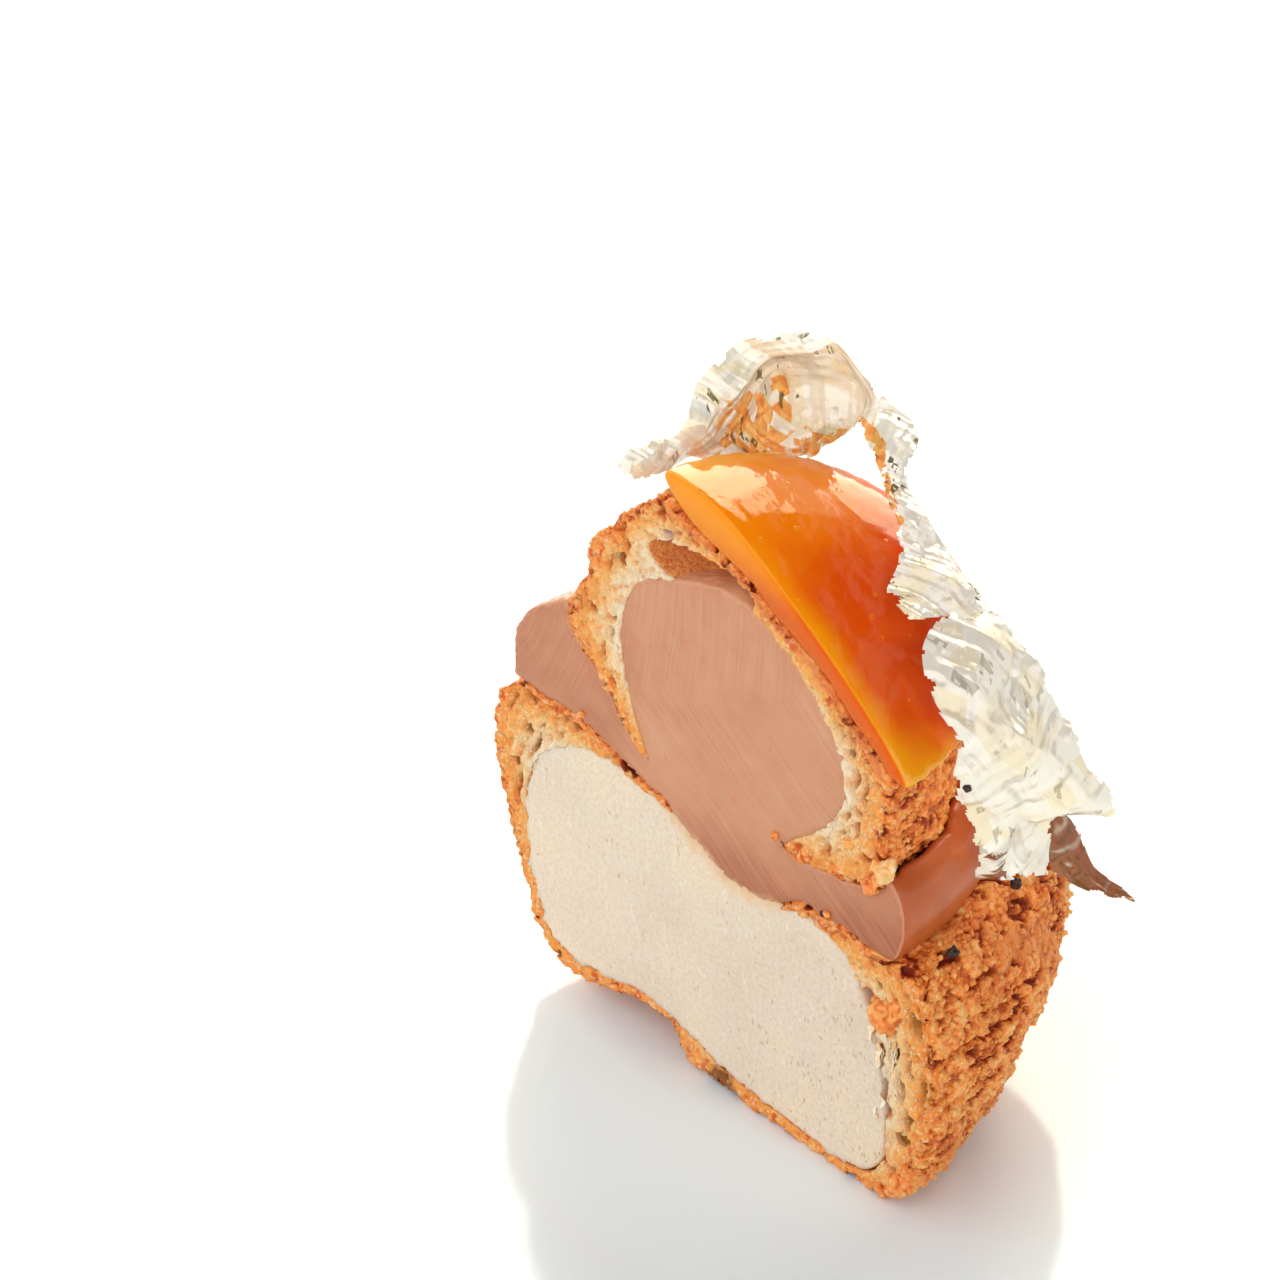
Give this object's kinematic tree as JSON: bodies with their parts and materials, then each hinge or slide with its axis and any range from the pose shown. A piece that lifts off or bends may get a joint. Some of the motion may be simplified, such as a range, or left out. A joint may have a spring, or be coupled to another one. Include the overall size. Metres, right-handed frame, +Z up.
{
  "type": "religieuse choux pastry half",
  "caption": "Half of a stacked double choux bun, cut upright to show pale filling and chocolate cream, with an orange glaze disc and gold leaf.",
  "frame": {"origin": "middle of the patch of the big bun's base that stands on the table, 12 mm behind the cut face", "axes": "+Z up; the cut face is the plane y = -0.012 m and looks along -Y; +X along the cut face, towards the side that carries the gold leaf"},
  "size_m": [0.0677, 0.0421, 0.0796],
  "materials": {
    "crust": "baked choux with a craggy golden-brown sugar crust",
    "pale_filling": "soft pale beige filling with fine brown specks",
    "chocolate_cream": "smooth milk-chocolate cream, satin on the outside of the collar",
    "orange_glaze": "clear glossy orange jelly glaze",
    "gold_leaf": "crumpled bright gold leaf"
  },
  "bodies": {
    "root": {"big_bun_crust": "crust", "pale_filling": "pale_filling", "chocolate_cream": "chocolate_cream", "small_bun_crust": "crust", "orange_glaze": "orange_glaze", "gold_leaf_crown": "gold_leaf", "gold_leaf_sheet": "gold_leaf", "gold_leaf_tail": "gold_leaf"}
  },
  "joints": []
}
